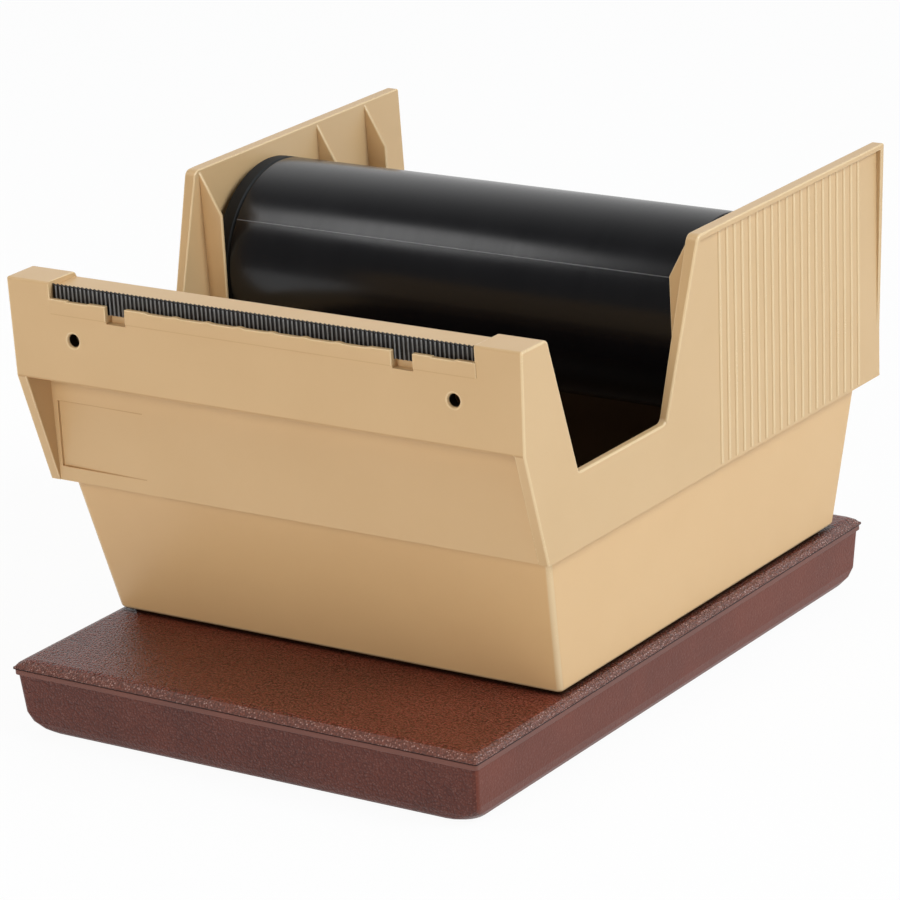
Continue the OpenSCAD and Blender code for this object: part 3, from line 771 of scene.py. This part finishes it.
# The tub's darkest colour is the painted shade on its inside faces.
TUB_BEIGE = TubPlastic("beige_tub", (0.700, 0.448, 0.214), (0.668, 0.420, 0.198), inner_shade_colour=(0.030, 0.014, 0.006))
# Lighter and glossier than the beige: a painted highlight on rounded edges, beads and tub corners.
BEIGE_EDGE_HIGHLIGHT = MouldedPlastic("beige_edge_glossy_highlight", (0.760, 0.550, 0.310), (0.710, 0.500, 0.270), roughness=0.26)
BROWN = GrainedPlastic(
    "brown_grain", (0.156, 0.031, 0.014), (0.066, 0.011, 0.005), pebble_m=0.00080, depth_m=0.00023
)
END_BLACK = MouldedPlastic("end_block_black", (0.004, 0.004, 0.004), (0.003, 0.003, 0.003), roughness=0.72)
DRUM_BLACK = DrumPlastic("drum_black", (0.0035, 0.0035, 0.0045), (0.006, 0.006, 0.007))
HUB_BLACK = MouldedPlastic("hub_black", (0.008, 0.008, 0.009), (0.005, 0.005, 0.006), roughness=0.5)
# Its last colour is the painted highlight on the tooth flanks.
BLADE_DARK = ToothedSteel("blade_dark", (0.020, 0.018, 0.018), (0.026, 0.019, 0.015), (0.43, 0.42, 0.405))
PLATED = Metal("plated_steel", (0.62, 0.63, 0.65), (0.50, 0.49, 0.48), roughness=0.30)
AXLE_STEEL = Metal(
    "axle_steel", (0.55, 0.56, 0.58), (0.45, 0.45, 0.46), roughness=0.28, brushing=(0.05, 1.0, 1.0)
)
FIBRE = Dull(
    "fibre_board", (0.22, 0.10, 0.05), (0.14, 0.06, 0.03), roughness=0.7, grain_m=0.0008, depth_m=0.00004
)
IRON = Dull(
    "raw_iron", (0.05, 0.05, 0.052), (0.03, 0.029, 0.028), roughness=0.62, grain_m=0.0015, depth_m=0.00012,
    metallic=0.7,
)
RUBBER = Dull(
    "foot_rubber", (0.022, 0.022, 0.022), (0.015, 0.015, 0.015), roughness=0.75, grain_m=0.0006,
    depth_m=0.00003,
)


def paint(obj: bpy.types.Object, material: Material) -> None:
    """Gives an object one material.

    Args:
        obj: The object to paint.
        material: Its material.
    """
    obj.data.materials.clear()
    obj.data.materials.append(material)
    for polygon in obj.data.polygons:
        polygon.material_index = 0


def smooth(obj: bpy.types.Object, degrees: float) -> None:
    """Shades an object smoothly across edges flatter than an angle in degrees."""
    obj.data.shade_smooth()
    obj.data.set_sharp_from_angle(angle=math.radians(degrees))


def linked(name: str, data: bpy.types.ID) -> bpy.types.Object:
    """Puts a new object into the scene.

    Args:
        name: The object's name.
        data: Its mesh, lamp or camera.

    Returns:
        The object.
    """
    obj = bpy.data.objects.new(name, data)
    bpy.context.scene.collection.objects.link(obj)
    return obj


def middle_of(edge: Edge) -> Vector:
    """Returns the middle of an edge."""
    return (edge.verts[0].co + edge.verts[1].co) / 2


@dataclass
class RoundedMoulding:
    """A copy of a CAD solid whose sharp outer edges are rounded as a mould leaves them."""

    node: str
    radius: float
    slot: str
    body: Body = Body.STAND
    segments: int = 2
    fine_segments: int = 3
    sharp_deg: float = 32.0
    fine_radius: float = 0.0
    outer_radius: float = 0.0
    smooth_deg: float = 40.0
    face_weighted: bool = True
    flat_from: float = 0.00012
    weld: float = 0.000002
    level_deg: float = 0.4
    sliver: float = 0.0000005

    def prepare(self, work: bmesh.types.BMesh) -> None:
        """Changes the welded copy before its edges are rounded; a sub-class may."""

    def flat(self, place: Vector) -> bool:
        """Tells whether a face with its middle at a place is shaded flat; a sub-class names some."""
        return False

    def glossy_highlight(self, facing: Vector, place: Vector) -> bool:
        """Tells whether a face that looks some way at a place gets the lighter edge finish, a painted highlight; a
        sub-class names some.
        """
        return False

    def wanted(self, edge: Edge) -> bool:
        """Tells whether an edge is rounded.

        Args:
            edge: An edge of the welded copy.

        Returns:
            True for a convex edge that is sharp enough.
        """
        if len(edge.link_faces) != 2 or not edge.is_convex:
            return False
        return edge.calc_face_angle() > math.radians(self.sharp_deg)

    def in_reach(self, edge: Edge) -> bool:
        """Tells whether an edge's place is one where rounding fits; a sub-class narrows it."""
        return True

    def fine(self, edge: Edge) -> bool:
        """Tells whether an edge gets the finer rounding; a sub-class names some."""
        return False

    def outer(self, edge: Edge) -> bool:
        """Tells whether an edge gets the rounding of the outer edges; a sub-class names some."""
        return False

    def round_off(self, work: bmesh.types.BMesh, edges: list[Edge], radius: float, steps: int) -> None:
        """Rounds edges and gives the new faces the lighter, glossier edge finish, a painted highlight.

        Args:
            work: The mesh to change.
            edges: The edges to round.
            radius: Their radius.
            steps: Number of facets across an edge; one makes a plain chamfer.
        """
        bmesh.ops.bevel(
            work, geom=edges, offset=radius, offset_type="OFFSET", segments=steps, profile=0.5,
            affect="EDGES", clamp_overlap=False, miter_outer="SHARP", miter_inner="SHARP",
            material=Skin.POLISHED.value,
        )
        work.normal_update()

    def shape(self, mesh: bpy.types.Mesh) -> list[int]:
        """Welds the node's mesh, rounds its edges and cleans the result.

        Args:
            mesh: The mesh to fill.

        Returns:
            The number of fine, outer and plain edges that were rounded.
        """
        work = bmesh.new()
        work.from_mesh(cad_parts[self.node].data)
        bmesh.ops.remove_doubles(work, verts=work.verts, dist=self.weld)
        level = math.radians(self.level_deg)
        bmesh.ops.dissolve_limit(work, angle_limit=level, verts=work.verts, edges=work.edges)
        work.normal_update()
        for face in work.faces:
            face.material_index = Skin.PLAIN.value
        self.prepare(work)
        counts = []
        for test, radius, steps in (
            (self.fine, self.fine_radius, self.fine_segments),
            (self.outer, self.outer_radius, self.segments),
            (self.in_reach, self.radius, self.segments),
        ):
            edges = [edge for edge in work.edges if radius and self.wanted(edge) and test(edge)]
            counts.append(len(edges))
            if edges:
                self.round_off(work, edges, radius, steps)
        bmesh.ops.dissolve_degenerate(work, dist=self.sliver, edges=work.edges)
        bmesh.ops.delete(work, geom=[edge for edge in work.edges if edge.is_wire], context="EDGES")
        work.to_mesh(mesh)
        work.free()
        return counts

    def build(self, material: Material, highlight_material: Material) -> bpy.types.Object:
        """Makes the rounded copy in the node's place.

        Args:
            material: Its material.
            highlight_material: The lighter, glossier material of its rounded edges, a painted highlight.

        Returns:
            The new piece.
        """
        mesh = bpy.data.meshes.new(f"{self.node}_moulding")
        counts = self.shape(mesh)
        piece = linked(f"{self.node}_moulding", mesh)
        smooth(piece, self.smooth_deg)
        for polygon in mesh.polygons:
            polygon.use_smooth = polygon.area < self.flat_from and not self.flat(polygon.center)
            # Painted highlight: chosen faces get the lighter edge finish.
            if self.glossy_highlight(polygon.normal, polygon.center):
                polygon.material_index = Skin.POLISHED.value
        if self.face_weighted:
            piece.modifiers.new("face_weighted", "WEIGHTED_NORMAL").keep_sharp = True
        mesh.materials.append(material)
        mesh.materials.append(highlight_material)
        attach(piece, self.body.value)
        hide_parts(self.node)
        LOG.info("%s: %d fine, %d outer and %d plain edges rounded", piece.name, *counts)
        return piece


@dataclass
class TubMoulding(RoundedMoulding):
    """The tub's moulding, whose rounded upright corners get the lighter edge finish, a painted highlight."""

    middle_y: float = 0.0185
    corner_turn: float = 0.2
    corner_level: float = 0.6

    def glossy_highlight(self, facing: Vector, place: Vector) -> bool:
        """Picks the faces that look out at a corner, for the painted highlight.

        Args:
            facing: The way that a face looks.
            place: The face's middle.

        Returns:
            True on a corner.
        """
        outward = facing.x * place.x > 0.0 and facing.y * (place.y - self.middle_y) > 0.0
        slanted = abs(facing.x) > self.corner_turn and abs(facing.y) > self.corner_turn
        return outward and slanted and abs(facing.z) < self.corner_level


@dataclass
class FrameMoulding(RoundedMoulding):
    """The upper frame's moulding; its beads and blade slot keep their own small edges."""

    near: float = 0.0006
    cheek_x: float = 0.0995
    cheek_lean_deg: float = 1.35
    cheek_in: float = 0.0015
    outer_clear: float = 0.002
    bead_zone_x: float = 0.0985
    bead_zone_y: Span = (0.012, 0.118)
    bead_zone_low: float = 0.0005
    bead_zone_below: float = 0.0022
    bead_below: float = 0.0012
    bead_first: float = 0.0173
    bead_pitch: float = 0.00486
    bead_half: float = 0.0009
    bead_proud: Span = (0.000004, 0.00042)
    bead_left: float = 0.62
    slot_half: float = 0.0842
    slot_low: float = 0.1380
    slot_deep: float = 0.0045
    fin_foot: tuple[float, float] = (-0.0177, 0.1036)
    fin_run: float = 0.3202
    rim_behind: Span = (0.0004, 0.0040)
    rim_below: float = 0.001
    lip_top: float = 0.1462
    lip_tall: float = 0.0040
    lip_deep: float = 0.0025
    lip_near: float = 0.0001
    lip_shortest: float = 0.0003
    dip_pitch: float = 0.167 / 13
    dip_pitches: float = 3.5
    dip_end: float = 0.33
    dip_near: float = 0.0002
    dip_ease: float = 0.0016
    overhang_z: float = 0.1177
    overhang_deep: float = 0.0012
    recess_x: float = -0.055
    recess_y: Span = (-0.0896, -0.0866)
    recess_z: Span = (0.0825, 0.1068)

    def __post_init__(self) -> None:
        """Reads the node's box once."""
        self.low, self.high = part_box(self.node)

    def proud(self, place: Vector) -> float:
        """Returns how far a point stands out from the cheek's plain outer face, in metres."""
        lean = math.tan(math.radians(self.cheek_lean_deg))
        return abs(place.x) - self.cheek_x - (place.z - self.low.z) * lean

    def on_bead(self, place: Vector) -> bool:
        """Tells whether a point is on one of the upright beads.

        Args:
            place: The point.

        Returns:
            True on a bead, away from the rim.
        """
        front, back = self.bead_zone_y
        off = (place.y - self.bead_first + self.bead_pitch / 2) % self.bead_pitch - self.bead_pitch / 2
        inside = front < place.y < back and self.low.z < place.z < self.high.z - self.bead_below
        return inside and abs(off) < self.bead_half and self.bead_proud[0] < self.proud(place) < self.bead_proud[1]

    def at_dip_end(self, place: Vector, off: float) -> bool:
        """Tells whether a point of the lip's top edge is an end of one of its dips.

        Args:
            place: The point.
            off: Its distance along the lip from the middle of the nearest dip.

        Returns:
            True at the end of a dip.
        """
        in_dips = abs(place.x) < self.dip_pitch * self.dip_pitches
        return in_dips and abs(abs(off) - self.dip_pitch * self.dip_end) < self.dip_near

    def prepare(self, work: bmesh.types.BMesh) -> None:
        """Presses the beads down to low, soft ridges, gives them the lighter edge finish as a painted highlight,
        and eases the ends of the dips in the lip.

        Args:
            work: The welded copy.
        """
        for corner in work.verts:
            place = corner.co
            if self.on_bead(place):
                place.x -= math.copysign(self.proud(place) * (1.0 - self.bead_left), place.x)
            elif place.y < self.low.y + self.lip_deep and abs(place.z - self.lip_top) < self.lip_near:
                off = (place.x + self.dip_pitch / 2) % self.dip_pitch - self.dip_pitch / 2
                if self.at_dip_end(place, off):
                    place.x += math.copysign(self.dip_ease, off)
        # The beads get the lighter edge finish, a painted highlight.
        for face in work.faces:
            if self.on_bead(face.calc_center_median()):
                face.material_index = Skin.POLISHED.value
        work.normal_update()

    def flat(self, place: Vector) -> bool:
        """Shades the beads' narrow facets flat."""
        return self.on_bead(place)

    def fin_line(self, place: Vector) -> float:
        """Returns where the front edge of the fin is, at the height of a point."""
        return self.fin_foot[0] + (place.z - self.fin_foot[1]) * self.fin_run

    def shelf_front(self, place: Vector) -> bool:
        """Tells whether a point is in the narrow zone of the blade's slot and its lip."""
        aside = abs(place.x) < self.slot_half
        return aside and place.y < self.low.y + self.slot_deep and place.z > self.slot_low

    def fine(self, edge: Edge) -> bool:
        """Picks the lip's own small edges, but not its lower front edge.

        Args:
            edge: An edge of the welded copy.

        Returns:
            True on those edges.
        """
        middle = middle_of(edge)
        on_lip = self.shelf_front(middle) and middle.z > self.lip_top - self.lip_tall
        return on_lip and edge.calc_length() > self.lip_shortest

    def in_reach(self, edge: Edge) -> bool:
        """Leaves out the beads, the fin's rim, the overhang, the recess, the seam and the blade's slot.

        Args:
            edge: An edge of the welded copy.

        Returns:
            True where rounding fits.
        """
        middle = middle_of(edge)
        front, back = self.bead_zone_y
        in_beads = (
            abs(middle.x) > self.bead_zone_x and front < middle.y < back
            and self.low.z + self.bead_zone_low < middle.z < self.high.z - self.bead_zone_below
        )
        at_overhang = abs(middle.z - self.overhang_z) < self.near
        under_panel = at_overhang and middle.y < self.low.y + self.overhang_deep
        in_recess = (
            middle.x < self.recess_x and self.recess_y[0] < middle.y < self.recess_y[1]
            and self.recess_z[0] < middle.z < self.recess_z[1]
        )
        at_seam = middle.z < self.low.z + self.near
        behind = middle.y - self.fin_line(middle)
        on_rim = (
            self.rim_behind[0] < behind < self.rim_behind[1] and abs(middle.x) > self.cheek_x
            and self.fin_foot[1] < middle.z < self.high.z - self.rim_below
        )
        return not (in_beads or under_panel or in_recess or on_rim or at_seam or self.shelf_front(middle))

    def outer(self, edge: Edge) -> bool:
        """Picks the edges around the cheeks' outer faces, clear of the beads and the seam.

        Args:
            edge: An edge of the welded copy.

        Returns:
            True on those edges.
        """
        middle = middle_of(edge)
        ahead = middle.y < self.bead_zone_y[0] - self.outer_clear
        clear = ahead and middle.z > self.low.z + self.outer_clear
        return clear and self.proud(middle) > -self.cheek_in and self.in_reach(edge)


@dataclass
class Drum:
    """The drum's black tube, turned about its axis with rounded ends."""

    edge: float = 0.0005
    wall: float = 0.003
    steps: int = 192
    arc_deg: float = 15.0
    arc_points: int = 7
    smooth_deg: float = 35.0

    def profile(self, low: Vector, high: Vector) -> list[tuple[float, float]]:
        """Lists the tube's section as (place along the axis, radius).

        Args:
            low: Lowest corner of the CAD tube.
            high: Highest corner of the CAD tube.

        Returns:
            The closed section, outer face first.
        """
        outer = (high.z - low.z) / 2
        inset, shoulder = self.edge, outer - self.edge
        arc = [math.radians(self.arc_deg * i) for i in range(self.arc_points)]
        left = [(low.x + inset - inset * math.cos(a), shoulder + inset * math.sin(a)) for a in arc]
        right = [(high.x - inset + inset * math.sin(a), shoulder + inset * math.cos(a)) for a in arc]
        return left + right + [(high.x, outer - self.wall), (low.x, outer - self.wall)]

    def build_tube(self, material: Material) -> bpy.types.Object:
        """Turns the tube about the drum's axis.

        Args:
            material: Its material.

        Returns:
            The new piece.
        """
        low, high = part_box("drum_tube")
        centre = (low + high) / 2
        section = self.profile(low, high)
        work = bmesh.new()
        rings = []
        for i in range(self.steps):
            turn = 2 * math.pi * i / self.steps
            back, up = math.cos(turn), math.sin(turn)
            rings.append([work.verts.new((x, centre.y + r * back, centre.z + r * up)) for x, r in section])
        for i, ring in enumerate(rings):
            after = rings[(i + 1) % self.steps]
            for k in range(len(section)):
                n = (k + 1) % len(section)
                work.faces.new((ring[k], ring[n], after[n], after[k]))
        bmesh.ops.recalc_face_normals(work, faces=work.faces)
        mesh = bpy.data.meshes.new("drum_skin")
        work.to_mesh(mesh)
        work.free()
        piece = linked("drum_skin", mesh)
        smooth(piece, self.smooth_deg)
        paint(piece, material)
        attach(piece, Body.DRUM.value)
        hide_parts("drum_tube")
        LOG.info("%s: turned in %d steps", piece.name, self.steps)
        return piece


@dataclass
class Dressing:
    """A finish for CAD nodes that are shown as they are."""

    finish: Union[MouldedPlastic, Metal, ToothedSteel, Dull]
    nodes: tuple[str, ...]

    def dress(self) -> None:
        """Paints each node."""
        material = self.finish.material()
        for name in self.nodes:
            paint(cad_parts[name], material)
            LOG.info("%s: %s", name, self.finish.name)


DRESSINGS = (
    Dressing(HUB_BLACK, ("hub_plug_left", "hub_plug_right")),
    Dressing(END_BLACK, ("end_block_left", "end_block_right")),
    Dressing(AXLE_STEEL, ("axle",)),
    Dressing(BLADE_DARK, ("blade",)),
    Dressing(PLATED, ("frame_screws", "tub_screws", "base_screws", "retaining_clip_left", "retaining_clip_right")),
    Dressing(FIBRE, ("drag_washer_left", "drag_washer_right")),
    Dressing(IRON, ("ballast_plate",)),
    Dressing(RUBBER, ("foot_front_left", "foot_front_right", "foot_rear_left", "foot_rear_right")),
)


def way_to(azimuth_deg: float, elevation_deg: float) -> Vector:
    """Turns two angles into a direction away from the object.

    Args:
        azimuth_deg: Angle to the right of the front.
        elevation_deg: Angle above the level.

    Returns:
        The direction, of length 1.
    """
    az, el = math.radians(azimuth_deg), math.radians(elevation_deg)
    return Vector((math.sin(az) * math.cos(el), -math.cos(az) * math.cos(el), math.sin(el)))


@dataclass(frozen=True)
class Lamp:
    """A soft round lamp that faces the object."""

    name: str
    azimuth_deg: float
    elevation_deg: float
    distance: float
    size: float
    watts: float
    tint: Colour = WHITE
    aim: Triple = (0.0, 0.0, 0.09)
    mirrored: bool = True

    def hang(self) -> None:
        """Hangs the lamp and turns it to the object."""
        way = way_to(self.azimuth_deg, self.elevation_deg)
        data = bpy.data.lights.new(self.name, "AREA")
        data.shape = "DISK"
        data.size = self.size
        data.energy = self.watts
        data.color = self.tint
        lamp = linked(self.name, data)
        lamp.location = Vector(self.aim) + way * self.distance
        lamp.rotation_euler = way.to_track_quat("Z", "Y").to_euler()
        lamp.visible_glossy = self.mirrored


LAMPS = (
    Lamp("key", azimuth_deg=97.0, elevation_deg=38.0, distance=3.0, size=1.4, watts=57.0,
         tint=(0.90, 1.0, 1.08)),
    Lamp("front", azimuth_deg=-2.0, elevation_deg=22.0, distance=1.9, size=0.8, watts=14.3,
         tint=(1.02, 1.0, 0.97), mirrored=False),
    Lamp("upper_left", azimuth_deg=-55.0, elevation_deg=45.0, distance=1.6, size=0.60, watts=3.2),
)


@dataclass
class Studio:
    """Floor, lights and camera."""

    focal_px: float = 4448.9
    frame_px: float = 900.0
    sensor_mm: float = 36.0
    clip: Span = (0.01, 50.0)
    azimuth_deg: float = 35.02
    elevation_deg: float = 18.607
    roll_deg: float = -3.274
    eye: Triple = (0.82239, -1.17024, 0.55621)
    room_light: float = 0.18
    backdrop_light: float = 0.93
    backdrop_from: Span = (-0.1, 0.45)
    backdrop_fade: Span = (0.55, 1.15)
    floor_half: float = 8.0
    floor_ahead: float = 1.1
    floor_colour: Colour = (0.86, 0.86, 0.86)
    floor_glow: float = 0.945

    def camera(self) -> None:
        """Places the camera at the photograph's point of view."""
        roll = math.radians(self.roll_deg)
        back = way_to(self.azimuth_deg, self.elevation_deg)
        ahead = -back
        right = ahead.cross(Vector((0, 0, 1))).normalized()
        down = ahead.cross(right)
        across = right * math.cos(roll) - down * math.sin(roll)
        under = right * math.sin(roll) + down * math.cos(roll)
        data = bpy.data.cameras.new("viewpoint")
        data.sensor_width = self.sensor_mm
        data.lens = self.focal_px / self.frame_px * self.sensor_mm
        data.clip_start, data.clip_end = self.clip
        eye = linked("viewpoint", data)
        turn = Matrix((across, -under, back)).transposed().to_4x4()
        eye.matrix_world = Matrix.Translation(Vector(self.eye)) @ turn
        bpy.context.scene.camera = eye

    def floor(self) -> None:
        """Lays a pale floor that reads white to the camera and still takes the object's shadow."""
        half, front = self.floor_half, -self.floor_ahead
        mesh = bpy.data.meshes.new("floor")
        corners = [(-half, front, 0), (half, front, 0), (half, half, 0), (-half, half, 0)]
        mesh.from_pydata(corners, [], [(0, 1, 2, 3)])
        plane = linked("floor", mesh)
        s = Shader.named("pale_floor")
        seen = s.node("ShaderNodeLightPath", out="Is Camera Ray")
        seen = seen + s.node("ShaderNodeLightPath", out="Is Glossy Ray")
        seen = seen + s.node("ShaderNodeLightPath", out="Is Transmission Ray")
        shown = s.spread(seen, 0.0, 1.0, 0.0, self.floor_glow)
        matt = s.node("ShaderNodeBsdfDiffuse", {}, {"Color": self.floor_colour})
        glow = s.node("ShaderNodeEmission", {}, {"Color": WHITE, "Strength": 1.0})
        mixed = s.node("ShaderNodeMixShader", {}, {0: shown, 1: matt, 2: glow})
        s.node("ShaderNodeOutputMaterial", {}, {"Surface": mixed})
        paint(plane, s.owner)

    def world(self) -> None:
        """Sets a dim surround with a white backdrop low behind the object."""
        s = Shader(bpy.data.worlds.new("surround"))
        bpy.context.scene.world = s.owner
        way = s.node("ShaderNodeTexCoord", out="Generated")
        behind = s.spread(s.part(way, Axis.Y), *self.backdrop_from, 0.0, 1.0)
        low = s.spread(s.part(way, Axis.Z), *self.backdrop_fade, 1.0, 0.0)
        dim, white, shown = (
            s.node("ShaderNodeBackground", {}, {"Color": WHITE, "Strength": strength})
            for strength in (self.room_light, self.backdrop_light, 1.0)
        )
        light = s.node("ShaderNodeMixShader", {}, {0: behind * low, 1: dim, 2: white})
        seen = s.node("ShaderNodeLightPath", out="Is Camera Ray")
        mixed = s.node("ShaderNodeMixShader", {}, {0: seen, 1: light, 2: shown})
        s.node("ShaderNodeOutputWorld", {}, {"Surface": mixed})

    def build(self) -> None:
        """Sets the whole studio up."""
        bpy.context.scene.view_settings.view_transform = "Standard"
        self.camera()
        self.floor()
        self.world()
        for lamp in LAMPS:
            lamp.hang()
        LOG.info("studio: floor, surround, lamps and viewpoint")


def main() -> None:
    """Builds every piece in order."""
    logging.basicConfig(level=logging.INFO, format="%(message)s")
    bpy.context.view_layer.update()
    Studio().build()
    # The painted highlight finish of the beige's rounded edges.
    beige_edge_highlight = BEIGE_EDGE_HIGHLIGHT.material()
    FrameMoulding(
        "upper_frame", radius=0.45 * MM, slot="beige_plastic", segments=4, fine_radius=0.3 * MM,
        outer_radius=0.7 * MM, smooth_deg=26.0,
    ).build(BEIGE.material(), beige_edge_highlight)
    TubMoulding(
        "lower_tub", radius=0.4 * MM, slot="beige_plastic", face_weighted=False, smooth_deg=24.0
    ).build(TUB_BEIGE.material(), beige_edge_highlight)
    brown = BROWN.material()
    for node in ("base_cover", "base_tray"):
        RoundedMoulding(node, radius=0.25 * MM, slot="brown_plastic").build(brown, brown)
    Drum().build_tube(DRUM_BLACK.material())
    for dressing in DRESSINGS:
        dressing.dress()


if __name__ == "__main__":
    main()
